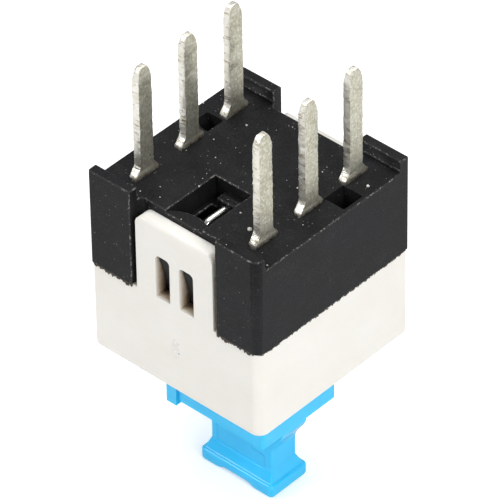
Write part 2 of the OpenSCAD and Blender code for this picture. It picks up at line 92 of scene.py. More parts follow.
def round_edges(bm, width, least_length, segments=3, wear_slot=SKIN, pick=None, sharper_than=35.0,
                clamp=True):
    """Rounds the outer edges that are picked by width and gives the new faces one material slot."""
    chosen = []
    for e in bm.edges:
        if len(e.link_faces) != 2 or e.calc_length() < least_length:
            continue
        if not e.is_convex or math.degrees(e.calc_face_angle(0.0)) < sharper_than:
            continue
        if pick is None or pick(e):
            chosen.append(e)
    if not chosen:
        return bm
    made = bmesh.ops.bevel(bm, geom=chosen, offset=width, offset_type="OFFSET", segments=segments,
                           profile=0.5, affect="EDGES", clamp_overlap=clamp, material=wear_slot)
    for f in made["faces"]:
        f.material_index = wear_slot
    return bm


def settle(bm, name, materials, body, stands_for=(), smooth_angle=32.0):
    """Turns a bmesh in millimetres into a finished piece in metres that rides on a body."""
    bmesh.ops.scale(bm, vec=(MM,) * 3, verts=bm.verts)
    mesh = bpy.data.meshes.new(name)
    bm.to_mesh(mesh)
    bm.free()
    for material in materials:
        mesh.materials.append(material)
    for polygon in mesh.polygons:
        polygon.use_smooth = True
    mesh.set_sharp_from_angle(angle=math.radians(smooth_angle))
    piece = bpy.data.objects.new(name, mesh)
    bpy.context.scene.collection.objects.link(piece)
    evener = piece.modifiers.new("even_shading", "WEIGHTED_NORMAL")
    evener.keep_sharp = True
    graph = bpy.context.evaluated_depsgraph_get()
    piece.data = bpy.data.meshes.new_from_object(piece.evaluated_get(graph))
    piece.modifiers.remove(evener)
    bpy.data.meshes.remove(mesh)
    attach(piece, body)
    if stands_for:
        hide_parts(*stands_for)
    return piece


class Wiring:
    """Adds nodes to a tree; an input takes either a plain value or another node's output."""

    def __init__(self, tree):
        self.tree = tree

    def feed(self, socket, value):
        if isinstance(value, bpy.types.NodeSocket):
            self.tree.links.new(value, socket)
        else:
            socket.default_value = value

    def node(self, kind, settings=None, by_index=(), **inputs):
        made = self.tree.nodes.new(kind)
        for key, value in (settings or {}).items():
            setattr(made, key, value)
        for index, value in by_index:
            self.feed(made.inputs[index], value)
        for key, value in inputs.items():
            self.feed(made.inputs[key.replace("_", " ")], value)
        return made

    def range(self, value, low, high, to_low=0.0, to_high=1.0):
        return self.node("ShaderNodeMapRange", Value=value, From_Min=low, From_Max=high, To_Min=to_low,
                         To_Max=to_high).outputs["Result"]

    def math(self, operation, a, b=0.5):
        return self.node("ShaderNodeMath", {"operation": operation}, ((0, a), (1, b))).outputs[0]

    def product(self, *values):
        total = values[0]
        for value in values[1:]:
            total = self.math("MULTIPLY", total, value)
        return total

    def parts(self, vector):
        return self.node("ShaderNodeSeparateXYZ", Vector=vector).outputs


class Shades(Wiring):
    """One procedural material on Object coordinates, its lengths given in millimetres."""

    def __init__(self, name):
        self.material = bpy.data.materials.new(name)
        self.material.use_nodes = True
        super().__init__(self.material.node_tree)
        self.skin = self.tree.nodes["Principled BSDF"]
        metres = self.tree.nodes.new("ShaderNodeTexCoord").outputs["Object"]
        self.place = self.node("ShaderNodeVectorMath", {"operation": "SCALE"}, Vector=metres,
                               Scale=1 / MM).outputs[0]

    def noise(self, size, detail=3.0, rough=0.55, stretch=(1, 1, 1), turn=(0, 0, 0)):
        """Noise whose blotches are about size wide; stretch below 1 draws them out along that axis."""
        at = self.node("ShaderNodeMapping", Vector=self.place, Scale=stretch, Rotation=turn).outputs[0]
        return self.node("ShaderNodeTexNoise", Vector=at, Scale=1 / size, Detail=detail,
                         Roughness=rough).outputs["Fac"]

    def mix(self, factor, a, b):
        made = self.node("ShaderNodeMix", {"data_type": "RGBA"}, ((0, factor), (6, a), (7, b)))
        return made.outputs[2]

    def specks(self, cell, reach, keep):
        """Small sparse dots: cell is their spacing, reach their radius and keep their share."""
        made = self.node("ShaderNodeTexVoronoi", Vector=self.place, Scale=1 / cell)
        near = self.range(made.outputs["Distance"], reach / cell, reach / cell * 0.55)
        chance = self.parts(made.outputs["Color"])[0]
        return self.math("MULTIPLY", near, self.math("LESS_THAN", chance, keep))

    def bump(self, height, depth, normal=None):
        """Bump of the given depth in millimetres."""
        made = self.node("ShaderNodeBump", Height=height, Distance=depth * MM)
        if normal is not None:
            self.feed(made.inputs["Normal"], normal)
        return made.outputs[0]

    def finish(self, **sockets):
        for key, value in sockets.items():
            self.feed(self.skin.inputs[key.replace("_", " ")], value)
        return self.material


class Growth(Wiring):
    """A Geometry Nodes tree with named inputs, grown once from a carrier mesh in millimetres."""

    def __init__(self, name, **inputs):
        super().__init__(bpy.data.node_groups.new(name, "GeometryNodeTree"))
        interface = self.tree.interface
        interface.new_socket(name="Geometry", in_out="OUTPUT", socket_type="NodeSocketGeometry")
        interface.new_socket(name="Geometry", in_out="INPUT", socket_type="NodeSocketGeometry")
        for key, kind in inputs.items():
            interface.new_socket(name=key.replace("_", " "), in_out="INPUT",
                                 socket_type=f"NodeSocket{kind}")
        self.given = self.tree.nodes.new("NodeGroupInput").outputs
        self.place = self.tree.nodes.new("GeometryNodeInputPosition").outputs[0]

    def end(self, geometry):
        """Closes the tree: instances made real, one material on everything."""
        real = self.node("GeometryNodeRealizeInstances", Geometry=geometry).outputs[0]
        dressed = self.node("GeometryNodeSetMaterial", Geometry=real, Material=self.given["Material"])
        out = self.tree.nodes.new("NodeGroupOutput")
        self.tree.links.new(dressed.outputs[0], out.inputs["Geometry"])

    def grow(self, carrier_bm, **values):
        """The grown geometry as a new bmesh; the carrier, its modifier and the meshes are removed."""
        mesh = bpy.data.meshes.new("carrier")
        carrier_bm.to_mesh(mesh)
        carrier_bm.free()
        carrier = bpy.data.objects.new("carrier", mesh)
        bpy.context.scene.collection.objects.link(carrier)
        modifier = carrier.modifiers.new("growth", "NODES")
        modifier.node_group = self.tree
        for item in self.tree.interface.items_tree:
            if item.in_out == "INPUT" and item.name.replace(" ", "_") in values:
                modifier[item.identifier] = values[item.name.replace(" ", "_")]
        graph = bpy.context.evaluated_depsgraph_get()
        grown = bpy.data.meshes.new_from_object(carrier.evaluated_get(graph))
        carrier.modifiers.remove(modifier)
        bm = bmesh.new()
        bm.from_mesh(grown)
        bpy.data.objects.remove(carrier)
        bpy.data.meshes.remove(mesh)
        bpy.data.meshes.remove(grown)
        return bm


def add_to(bm, other, material_index):
    """Adds another bmesh's faces to bm under one material slot."""
    for f in other.faces:
        f.material_index = material_index
    held = bpy.data.meshes.new("held")
    other.to_mesh(held)
    other.free()
    bm.from_mesh(held)
    bpy.data.meshes.remove(held)


def line_of(points):
    """A bmesh that is only a line through the points."""
    bm = bmesh.new()
    made = [bm.verts.new(p) for p in points]
    for a, b in zip(made, made[1:]):
        bm.edges.new((a, b))
    return bm


def black_plastic(name, rubbed):
    """Satin black moulding; rubbed edges are greyer and broken up."""
    s = Shades(name)
    blotch = s.noise(1.6, 4)
    flow = s.noise(0.9, 2)
    grain = s.noise(0.045, 2)
    dark = s.mix(s.range(blotch, 0.35, 0.7), (0.0085, 0.0085, 0.009, 1), (0.0145, 0.015, 0.0168, 1))
    dark = s.mix(s.range(s.noise(0.06, 3, 0.7), 0.5, 0.75), dark, (0.03, 0.03, 0.031, 1))
    if rubbed:
        worn = s.math("MAXIMUM", s.range(s.noise(0.11, 3), 0.54, 0.6), 0.12)
        dark = s.mix(worn, dark, (0.17, 0.165, 0.155, 1))
    haze = s.math("MULTIPLY", s.range(s.noise(0.03, 2), 0.6, 0.74), s.range(s.noise(0.8, 3), 0.5, 0.68))
    dark = s.mix(haze, dark, (0.09, 0.09, 0.088, 1))
    fine = s.specks(0.16, 0.026, 0.24)
    coarse = s.specks(0.8, 0.042, 0.09)
    dust = s.math("MAXIMUM", s.math("MULTIPLY", fine, 0.35), coarse)
    colour = s.mix(dust, dark, (0.55, 0.54, 0.5, 1))
    rough = s.math("MAXIMUM", s.range(blotch, 0.3, 0.7, 0.36, 0.5), s.math("MULTIPLY", dust, 0.8))
    height = s.bump(grain, 0.004, s.bump(flow, 0.006))
    s.skin.inputs["Specular IOR Level"].default_value = 0.11
    return s.finish(Base_Color=colour, Roughness=rough, Normal=height)


def torn_flash():
    """The same plastic where it was squeezed thin: brown-black and dull."""
    s = Shades("brown_black_flash")
    colour = s.mix(s.range(s.noise(0.12, 3), 0.35, 0.65), (0.02, 0.013, 0.009, 1),
                   (0.07, 0.045, 0.026, 1))
    return s.finish(Base_Color=colour, Roughness=0.7, Normal=s.bump(s.noise(0.05, 2), 0.01))


def dust_grit():
    """Pale mineral dust."""
    s = Shades("pale_dust")
    colour = s.mix(s.range(s.noise(0.2, 2), 0.35, 0.65), (0.42, 0.40, 0.36, 1), (0.82, 0.80, 0.76, 1))
    return s.finish(Base_Color=colour, Roughness=0.8, Normal=s.bump(s.noise(0.02, 2), 0.004))


def flash_tree():
    """A thin ribbon along a line whose lower edge is torn into small teeth."""
    g = Growth("ragged_flash", Step="Float", Thick="Float", Top="Float", Bottom="Float", Drop="Float",
               Tooth="Float", Material="Material")
    curve = g.node("GeometryNodeMeshToCurve", Mesh=g.given["Geometry"]).outputs[0]
    even = g.node("GeometryNodeResampleCurve", {"mode": "LENGTH"}, Curve=curve,
                  Length=g.given["Step"]).outputs[0]
    upright = g.node("GeometryNodeSetCurveNormal", {"mode": "Z_UP"}, Curve=even).outputs[0]
    section = g.node("GeometryNodeCurvePrimitiveQuadrilateral", Width=g.given["Thick"],
                     Height=g.given["Thick"]).outputs[0]
    ribbon = g.node("GeometryNodeCurveToMesh", Curve=upright, Profile_Curve=section,
                    Fill_Caps=True).outputs[0]
    x, y, z = g.parts(g.place)
    torn = g.node("ShaderNodeTexNoise", Vector=g.place, Scale=g.math("DIVIDE", 1.0, g.given["Tooth"]),
                  Detail=4.0, Roughness=0.72).outputs["Fac"]
    hang = g.math("MULTIPLY", g.range(torn, 0.42, 0.62), g.given["Drop"])
    low = g.math("SUBTRACT", g.given["Bottom"], hang)
    is_low = g.math("LESS_THAN", z, g.given["Bottom"])
    level = g.node("ShaderNodeMix", {"data_type": "FLOAT"}, ((0, is_low), (2, g.given["Top"]),
                                                             (3, low))).outputs[0]
    spot = g.node("ShaderNodeCombineXYZ", X=x, Y=y, Z=level).outputs[0]
    g.end(g.node("GeometryNodeSetPosition", Geometry=ribbon, Position=spot).outputs[0])
    return g


def grain_tree():
    """Tiny faceted grains scattered over the faces of the carrier."""
    g = Growth("dust_grains", Density="Float", Smallest="Float", Largest="Float", Seed="Int",
               Material="Material")
    spread = g.node("GeometryNodeDistributePointsOnFaces", Mesh=g.given["Geometry"],
                    Density=g.given["Density"], Seed=g.given["Seed"]).outputs["Points"]
    ball = g.node("GeometryNodeMeshIcoSphere", Radius=1.0, Subdivisions=2).outputs[0]
    small = g.node("ShaderNodeCombineXYZ", X=g.given["Smallest"], Y=g.given["Smallest"],
                   Z=g.given["Smallest"]).outputs[0]
    large = g.node("ShaderNodeCombineXYZ", X=g.given["Largest"], Y=g.given["Largest"],
                   Z=g.given["Largest"]).outputs[0]
    size = g.node("FunctionNodeRandomValue", {"data_type": "FLOAT_VECTOR"}, ((0, small), (1, large)),
                  Seed=g.given["Seed"]).outputs[0]
    turn = g.node("FunctionNodeRandomValue", {"data_type": "FLOAT_VECTOR"},
                  ((0, (0, 0, 0)), (1, (6, 6, 6))), Seed=g.given["Seed"]).outputs[0]
    g.end(g.node("GeometryNodeInstanceOnPoints", Points=spread, Instance=ball, Scale=size,
                 Rotation=turn).outputs[0])
    return g


base_skin = black_plastic("black_base_plastic", False)
base_edge = black_plastic("black_base_edges", True)
grit = dust_grit()
flash_skin = torn_flash()
base_bm = open_cad("insulator_base")
top_face_z, under_z = 14.6, 10.67
base_edge_radius = 0.045

# Dust lies on the large faces that look up.
dusty_above_z, least_dusty_area, looks_up = 13.3, 0.05, 0.9
ground = base_bm.copy()
bmesh.ops.delete(ground, geom=[f for f in ground.faces
                               if f.normal.z < looks_up or f.calc_center_median().z < dusty_above_z
                               or f.calc_area() < least_dusty_area], context="FACES")

# The side holes are squarer in the photograph than eight-sided, the left one with a cut outer corner.
hole_floor_z = 12.1
hole_steps_x = (2.97, 3.27, 3.77, 4.07)
eight_corners = ((2.97, 0.95), (3.27, 0.65), (3.77, 0.65), (4.07, 0.95),
                 (4.07, 1.55), (3.77, 1.85), (3.27, 1.85), (2.97, 1.55))
right_hole = ((3.08, 0.84), (3.13, 0.79), (4.0, 0.79), (4.06, 0.85),
              (4.06, 1.78), (4.0, 1.84), (3.13, 1.84), (3.08, 1.79))
left_hole = ((-2.88, 0.93), (-2.94, 0.87), (-3.5, 0.93), (-3.7, 1.13),
             (-3.7, 1.7), (-3.64, 1.76), (-2.94, 1.76), (-2.88, 1.7))
for v in base_bm.verts:
    in_hole = hole_floor_z < v.co.z < top_face_z + 0.01
    if in_hole and min(abs(abs(v.co.x) - x) for x in hole_steps_x) < 0.01:
        corner = (round(abs(v.co.x), 2), round(v.co.y, 2))
        if corner in eight_corners:
            v.co.xy = (right_hole if v.co.x > 0 else left_hole)[eight_corners.index(corner)]


def clear_of_slots(e):
    """False round the terminal slots and side holes, where a rounded edge would open dark slits."""
    return not all(2.6 < abs(v.co.x) < 4.2 and abs(v.co.y) < 3.3 for v in e.verts)


round_edges(base_bm, base_edge_radius, 0.0, wear_slot=RUBBED, sharper_than=50.0, clamp=False,
            pick=clear_of_slots)
for f in base_bm.faces:
    if f.calc_area() < 0.3 and abs(f.normal.z) > 0.3 and abs(f.normal.y) > 0.3:
        f.material_index = RUBBED

flash_y, flash_root = 4.217, 0.09
flash = flash_tree()
for y in (-flash_y, flash_y):
    for x0, x1 in ((-4.13, -2.16), (2.16, 3.98)):
        start, stop = (x0, x1) if y < 0 else (-x1, -x0)
        ribbon = flash.grow(line_of([(start, y, under_z), (stop, y, under_z)]), Step=0.02, Thick=0.05,
                            Top=under_z + flash_root, Bottom=under_z, Drop=0.16, Tooth=0.19,
                            Material=flash_skin)
        add_to(base_bm, ribbon, FLASH)

dust = grain_tree().grow(ground, Density=0.9, Smallest=0.006, Largest=0.034, Seed=11, Material=grit)
add_to(base_bm, dust, GRIT)
crumb_flatness, crumb_roughness = 0.8, 0.5
for x, y, reach in ((2.24, -2.41, 0.085), (3.83, 2.39, 0.06), (-2.02, 2.11, 0.04), (-2.38, 0.67, 0.035),
                    (-0.9, -1.76, 0.03), (1.92, 0.59, 0.03), (1.31, -1.89, 0.035)):
    crumb = bmesh.new()
    bmesh.ops.create_icosphere(crumb, subdivisions=3, radius=reach)
    for v in crumb.verts:
        v.co *= 1 + crumb_roughness * noise.noise(v.co * 1.4 / reach + Vector((x, y, 0)))
        v.co.z *= crumb_flatness
    bmesh.ops.translate(crumb, vec=(x, y, top_face_z + 0.5 * reach), verts=crumb.verts)
    add_to(base_bm, crumb, GRIT)
settle(base_bm, "insulator_base_moulding", [base_skin, base_edge, grit, flash_skin], "housing",
       ["insulator_base"])

# White cover.
# The cover is a thin box of warm white plastic; its two windowed tongues clip over wedges on the base.
# Light soaks a little way into it, the depth of its windows is painted tan to brown as shade, and the
# gate left a scar.


def white_plastic(name):
    s = Shades(name)
    x, y, z = s.parts(s.place)
    cloud = s.noise(2.2, 3)
    colour = s.mix(s.range(cloud, 0.3, 0.7), (0.805, 0.78, 0.722, 1), (0.84, 0.82, 0.772, 1))
    brushed = s.range(s.noise(0.12, 3, stretch=(0.12, 1, 1)), 0.35, 0.65)
    colour = s.mix(s.math("MULTIPLY", brushed, 0.12), colour, (0.92, 0.90, 0.86, 1))
    inward = s.math("ABSOLUTE", y)
    tongue_low, tongue_high, tongue_half = 10.7, 13.2, 2.0
    tongue = s.product(s.math("GREATER_THAN", z, tongue_low), s.math("LESS_THAN", z, tongue_high),
                       s.math("LESS_THAN", s.math("ABSOLUTE", x), tongue_half))
    uneven = s.range(s.noise(0.5, 2), 0.2, 0.6, 0.6, 1.0)
    # Painted shade: deeper into the windows and along the tongue's sides the white turns tan, then dark
    # brown, for the shade there and the warm light bounced through the plastic.
    window_mouth, window_middle, window_back = 4.17, 3.95, 3.68
    for outer, inner, painted_window_shade in ((window_mouth, window_middle, (0.52, 0.41, 0.29, 1)),
                                 (window_middle, window_back, (0.13, 0.08, 0.045, 1))):
        colour = s.mix(s.product(s.range(inward, outer, inner), tongue, uneven), colour, painted_window_shade)
    seam_depth, side_wall_from = 0.085, 4.1
    seam = s.range(s.noise(0.13, 3, 0.65), 0.42, 0.62, 0.0, seam_depth)
    near_base = s.math("GREATER_THAN", z, s.math("SUBTRACT", under_z, seam))
    outside = s.product(near_base, s.math("LESS_THAN", z, under_z + 0.02),
                        s.math("GREATER_THAN", s.math("ABSOLUTE", x), side_wall_from))
    colour = s.mix(outside, colour, (0.035, 0.025, 0.018, 1))
    colour = s.mix(s.specks(1.1, 0.032, 0.16), colour, (0.30, 0.25, 0.21, 1))
    gate_x, gate_z, gate_half_x, gate_half_z, front_wall_y = -0.02, 8.66, 0.21, 0.5, -4.1
    scar_x = s.math("POWER", s.math("DIVIDE", s.math("SUBTRACT", x, gate_x), gate_half_x), 2.0)
    scar_z = s.math("POWER", s.math("DIVIDE", s.math("SUBTRACT", z, gate_z), gate_half_z), 2.0)
    frayed = s.math("ADD", s.math("ADD", scar_x, scar_z), s.range(s.noise(0.12, 3), 0, 1, -0.8, 0.8))
    scar = s.math("MULTIPLY", s.math("LESS_THAN", y, front_wall_y), s.range(frayed, 1.1, 0.5))
    torn = s.noise(0.05, 4, 0.75)
    # The scar's torn flecks are painted pure white: partly the scar's own paler roughness, partly
    # painted highlight for the glints it catches.
    colour = s.mix(s.product(scar, s.range(torn, 0.48, 0.6)), colour, (1.0, 1.0, 1.0, 1))
    colour = s.mix(s.product(scar, s.specks(0.13, 0.045, 0.5)), colour, (0.09, 0.075, 0.065, 1))
    height = s.bump(s.math("MULTIPLY", torn, scar), 0.04, s.bump(s.noise(0.12, 2), 0.0015))
    s.skin.inputs["Specular IOR Level"].default_value = 0.4
    s.skin.inputs["Subsurface Weight"].default_value = 0.14
    s.skin.inputs["Subsurface Radius"].default_value = (1.0, 0.75, 0.5)
    s.skin.inputs["Subsurface Scale"].default_value = 0.0006
    return s.finish(Base_Color=colour, Roughness=s.range(cloud, 0.3, 0.7, 0.4, 0.52), Normal=height)


def slice_mesh(bm, point, direction):
    """Cuts the whole mesh along a plane and keeps both sides."""
    bmesh.ops.bisect_plane(bm, geom=bm.verts[:] + bm.edges[:] + bm.faces[:], plane_co=point,
                           plane_no=direction)


cover_skin = white_plastic("white_cover_plastic")
cover_bm = open_cad("cover_shell")
bottom_z, rim_radius, half_body, outer_wall_from = 6.45, 0.3, 4.25, 4.0
for share in (0.1, 0.28, 0.5, 0.75, 1.0):
    slice_mesh(cover_bm, (0, 0, bottom_z + rim_radius * share), (0, 0, 1))
for v in cover_bm.verts:
    drop = rim_radius - (v.co.z - bottom_z)
    if drop > 0 and max(abs(v.co.x), abs(v.co.y)) > outer_wall_from:
        v.co.xy *= 1 - (rim_radius - math.sqrt(max(0.0, rim_radius ** 2 - drop ** 2))) / half_body
round_edges(cover_bm, 0.06, 0.3, pick=lambda e: all(v.co.z > bottom_z + 0.2 for v in e.verts))
settle(cover_bm, "cover_shell_moulding", [cover_skin], "housing", ["cover_shell"])

# Blue plunger.
# The plunger is one blue moulding: push head, stem, guide platform, flange, spring bore and heart track.
# It slides in the cover. Its push head is softer than the CAD one: a rounded rim flares into the stem.


def blue_plastic(name):
    s = Shades(name)
    cloud = s.noise(1.4, 3)
    colour = s.mix(s.range(cloud, 0.3, 0.7), (0.026, 0.53, 0.94, 1), (0.04, 0.58, 0.98, 1))
    rough = s.range(cloud, 0.3, 0.7, 0.13, 0.2)
    s.skin.inputs["Subsurface Weight"].default_value = 0.25
    s.skin.inputs["Subsurface Radius"].default_value = (0.2, 0.8, 1.0)
    s.skin.inputs["Subsurface Scale"].default_value = 0.0005
    s.skin.inputs["Specular IOR Level"].default_value = 0.55
    return s.finish(Base_Color=colour, Roughness=rough,
                    Normal=s.bump(s.noise(0.08, 2), 0.0015, s.bump(s.noise(0.45, 2), 0.008)))


def smooth(low, high, value):
    t = min(max((value - low) / (high - low), 0.0), 1.0)
    return t * t * (3 - 2 * t)


def ring_pattern():
    """For each point of a ring: its place between the corner centres and its outward direction."""
    long_side, short_side, corner_steps = 46, 18, 8
    pattern = []
    for k, count in enumerate((long_side, short_side) * 2):
        along = Vector(((1, 0), (0, 1), (-1, 0), (0, -1))[k])
        out = Vector(((0, -1), (1, 0), (0, 1), (-1, 0))[k])
        for i in range(count):
            pattern.append((along * (2 * i / count - 1) + out, out))
        for j in range(corner_steps):
            a = math.radians(90) * j / corner_steps
            pattern.append((along + out, out * math.cos(a) + along * math.sin(a)))
    return pattern


def head_rings():
    """Half widths, corner radius and height of each ring, from the middle of the end face up."""
    half_x, half_y, corner = 1.88, 1.06, 0.2
    lower, rim_h, rim, flare_h = 0.18, 0.62, 0.12, 0.46
    stem_x, stem_y, stem_corner, top = 1.57, 0.71, 0.06, 3.67
    spread, spread_from, spread_to = 0.6, 2.0, 3.3
    rings = [((half_x - lower) * t, (half_y - lower) * t, (corner - lower) * t, 0.0)
             for t in (0.05, 0.2, 0.35, 0.5, 0.65, 0.8, 0.92)]
    for i in range(8):
        a = math.radians(90) * i / 7
        inset = lower * (1 - math.sin(a))
        rings.append((half_x - inset, half_y - inset, corner - inset, lower * (1 - math.cos(a))))
    for z in (0.27, 0.34, 0.41):
        rings.append((half_x, half_y, corner, z))
    for i in range(6):
        a = math.radians(90) * i / 5
        inset = rim * (1 - math.cos(a))
        rings.append((half_x - inset, half_y - inset, corner - inset, rim_h - rim + rim * math.sin(a)))
    for i in range(1, 9):
        t = i / 8
        rings.append((half_x - rim + (stem_x - half_x + rim) * t,
                      half_y - rim + (stem_y - half_y + rim) * t,
                      corner - rim + (stem_corner - corner + rim) * t, rim_h + flare_h * t))
    steps = 46
    for i in range(1, steps + 1):
        z = rim_h + flare_h + (top - rim_h - flare_h) * i / steps
        rings.append((stem_x + spread * smooth(spread_from, spread_to, z), stem_y, stem_corner, z))
    return rings


def head_point(x, y, z):
    """Presses the groove across the end and the sunken panel on the front into the plain head."""
    groove_depth, panel_depth, front_from = 0.13, 0.04, -0.6
    groove = groove_depth * (1 - smooth(0.6, 0.98, abs(x))) * (1 - smooth(0.2, 0.48, z))
    if y < front_from:
        low = smooth(1.0, 1.08, z) * (1 - smooth(1.66, 1.74, z)) * (1 - smooth(1.21, 1.29, x))
        tall = smooth(1.0, 1.08, z) * (1 - smooth(3.4, 3.48, z)) * (1 - smooth(0.56, 0.64, x))
        y += panel_depth * max(low, tall) * smooth(-1.29, -1.21, x)
    return x, y, z + groove


plunger_skin = blue_plastic("blue_plunger_plastic")
plunger_bm = open_cad("plunger")
platform_z, head_reach_x, head_reach_y, head_offset_x = 3.62, 2.2, 1.05, 0.03
square_head = [f for f in plunger_bm.faces
               if all(v.co.z < platform_z + 0.01 and abs(v.co.x) < head_reach_x
                      and abs(v.co.y) < head_reach_y for v in f.verts)]
bmesh.ops.delete(plunger_bm, geom=square_head, context="FACES")
bmesh.ops.holes_fill(plunger_bm, edges=[e for e in plunger_bm.edges if e.is_boundary])
plunger_bm.normal_update()
round_edges(plunger_bm, 0.07, 0.3)
pattern = ring_pattern()
rows = []
for hx, hy, r, z in head_rings():
    rows.append([plunger_bm.verts.new(head_point((hx - r) * c.x + r * n.x + head_offset_x,
                                                 (hy - r) * c.y + r * n.y, z)) for c, n in pattern])
for low_row, high_row in zip(rows, rows[1:]):
    for i in range(len(pattern)):
        j = (i + 1) % len(pattern)
        plunger_bm.faces.new((low_row[i], low_row[j], high_row[j], high_row[i]))
plunger_bm.faces.new(list(reversed(rows[0])))
plunger_bm.faces.new(rows[-1])
settle(plunger_bm, "plunger_moulding", [plunger_skin], "plunger", ["plunger"])

# Terminals.
# Each terminal is stamped from tinned strip: flat pin, wider shoulder on the base, contact blade inside.
# The punch left the sheared edges knobbly; their paler colour is partly their own and partly painted
# highlight, and the flat faces are duller with a drawn grain.


def tin_plate(name, sheared):
    s = Shades(name)
    cloud = s.noise(0.5, 4)
    pits = s.noise(0.05, 3)
    if sheared:
        torn = s.noise(0.11, 3, 0.6, stretch=(0.3, 1, 1), turn=(0, 0.5, 0))
        # The sheared edges are painted cream-white: partly their own brighter cut metal, partly painted
        # highlight for the light these knobbly edges catch.
        colour = s.mix(s.range(cloud, 0.3, 0.7), (0.80, 0.77, 0.66, 1), (0.97, 0.96, 0.90, 1))
        colour = s.mix(s.range(torn, 0.56, 0.68), colour, (0.42, 0.35, 0.25, 1))
        rough, height = s.range(pits, 0.3, 0.7, 0.34, 0.5), s.bump(torn, 0.03)
    else:
        colour = s.mix(s.range(cloud, 0.3, 0.7), (0.50, 0.48, 0.36, 1), (0.66, 0.64, 0.53, 1))
        colour = s.mix(s.range(s.noise(0.11, 3), 0.45, 0.7), colour, (0.82, 0.81, 0.71, 1))
        drawn = s.noise(0.05, 3, stretch=(1, 1, 0.2))
        colour = s.mix(s.range(drawn, 0.58, 0.75), colour, (0.36, 0.33, 0.25, 1))
        rough, height = s.range(pits, 0.3, 0.7, 0.36, 0.54), s.bump(pits, 0.01, s.bump(cloud, 0.03))
    z = s.parts(s.place)[2]
    # The pins turn brown in patches over the last 0.18 mm above the base top.
    browner_at_foot = s.math("MULTIPLY", s.range(z, 14.78, 14.6), s.range(s.noise(0.12, 3), 0.4, 0.6))
    colour = s.mix(browner_at_foot, colour, (0.16, 0.11, 0.07, 1))
    return s.finish(Base_Color=colour, Roughness=rough, Normal=height, Metallic=0.9)


def shear_tree():
    """Pushes the points on a pin's two sheared edges in and out, as the punch left them."""
    g = Growth("sheared_edge", Pin_Middle="Float", Row_Middle="Float", Half_Strip="Float", Foot="Float",
               Ripple="Float", Grain="Float", Material="Material")
    x, y, z = g.parts(g.place)
    outward = g.math("SIGN", g.math("SUBTRACT", y, g.given["Pin Middle"]))
    across = g.math("DIVIDE", g.math("SUBTRACT", x, g.given["Row Middle"]), g.given["Half Strip"])
    bulge = g.math("SUBTRACT", 1.0, g.math("POWER", across, 2.0))
    knobs = g.node("ShaderNodeTexNoise", Vector=g.place, Scale=g.math("DIVIDE", 1.0, g.given["Grain"]),
                   Detail=2.0, Roughness=0.6).outputs["Fac"]
    swell = g.math("ADD", g.range(knobs, 0.25, 0.75, -1.0, 1.0), g.math("MULTIPLY", bulge, 0.6))
    above = g.math("GREATER_THAN", z, g.given["Foot"])
    shift = g.product(outward, above, swell, g.given["Ripple"])
    offset = g.node("ShaderNodeCombineXYZ", Y=shift).outputs[0]
    g.end(g.node("GeometryNodeSetPosition", Geometry=g.given["Geometry"], Offset=offset).outputs[0])
    return g


tin_face = tin_plate("tin_plate_face", False)
tin_shear_and_highlight = tin_plate("tin_plate_sheared_edge", True)
shear = shear_tree()
pin_top, tip_length, slice_step, foot_z = 19.7, 0.75, 0.07, top_face_z + 0.03
half_pin, tip_narrowing, tip_thinning, row_half, pitch = 0.35, 0.92, 0.3, 3.0, 2.5
# How much shorter than the CAD pin each one is cut, as far as the photograph shows.
cut_short = {"nc_left": 0.04, "com_left": 0.0, "no_left": 0.02,
             "nc_right": 0.1, "com_right": 0.02, "no_right": 0.0}


def cad_tip_half(t):
    """Half width of the CAD pin's tip, t being 0 where the tip starts and 1 at its end."""
    return half_pin - 0.12 * t if t < 0.25 else 0.32 - 0.16 * (t - 0.25)


for side, row_x in (("left", -row_half), ("right", row_half)):
    for kind, pin_y in (("nc", -pitch), ("com", 0.0), ("no", pitch)):
        node = f"terminal_{kind}_{side}"
        pin_bm = round_edges(open_cad(node), 0.03, 0.15, segments=2)
        for i in range(1, int((pin_top - foot_z) / slice_step)):
            slice_mesh(pin_bm, (0, 0, foot_z + i * slice_step), (0, 0, 1))
        for shift in (-0.08, 0.0, 0.08):
            slice_mesh(pin_bm, (row_x + shift, 0, 0), (1, 0, 0))
        for v in pin_bm.verts:
            t = (v.co.z - pin_top + tip_length) / tip_length
            if t > 0:
                narrower = math.sqrt(1 - (tip_narrowing * t) ** 2)
                v.co.y = pin_y + (v.co.y - pin_y) * half_pin * narrower / cad_tip_half(t)
                v.co.x = row_x + (v.co.x - row_x) * (1 - tip_thinning * t * t)
            v.co.z -= cut_short[f"{kind}_{side}"] * min(max((t + 1) / 1.6, 0.0), 1.0)
        pin_bm = shear.grow(pin_bm, Pin_Middle=pin_y, Row_Middle=row_x, Half_Strip=0.17, Foot=foot_z,
                            Ripple=0.026, Grain=0.14, Material=tin_face)
        pin_bm.normal_update()
        # The sheared-edge slot takes the paler tin, which is partly painted highlight.
        flat_face, sheared_edge = 0, 1
        for f in pin_bm.faces:
            f.material_index = flat_face if abs(f.normal.x) > 0.8 else sheared_edge
        settle(pin_bm, f"{node}_strip", [tin_face, tin_shear_and_highlight], "housing", [node])

# Moving contacts.
# Two bronze clips ride on the plunger; three fingers of each bridge the common blade and its neighbour.
# They are bent from thin strip and show the grain of rolling.


def strip_bronze(name):
    s = Shades(name)
    rolled = s.noise(0.08, 3, stretch=(1, 0.15, 1))
    colour = s.mix(s.range(rolled, 0.3, 0.7), (0.62, 0.43, 0.2, 1), (0.78, 0.58, 0.3, 1))
    return s.finish(Base_Color=colour, Roughness=s.range(rolled, 0.3, 0.7, 0.25, 0.4),
                    Normal=s.bump(rolled, 0.003), Metallic=1.0)


bronze = strip_bronze("contact_strip_bronze")
for side in ("left", "right"):
    node = f"contact_clip_{side}"
    clip_bm = round_edges(open_cad(node), 0.02, 0.1, segments=2)
    settle(clip_bm, f"{node}_strip", [bronze], "plunger", [node])

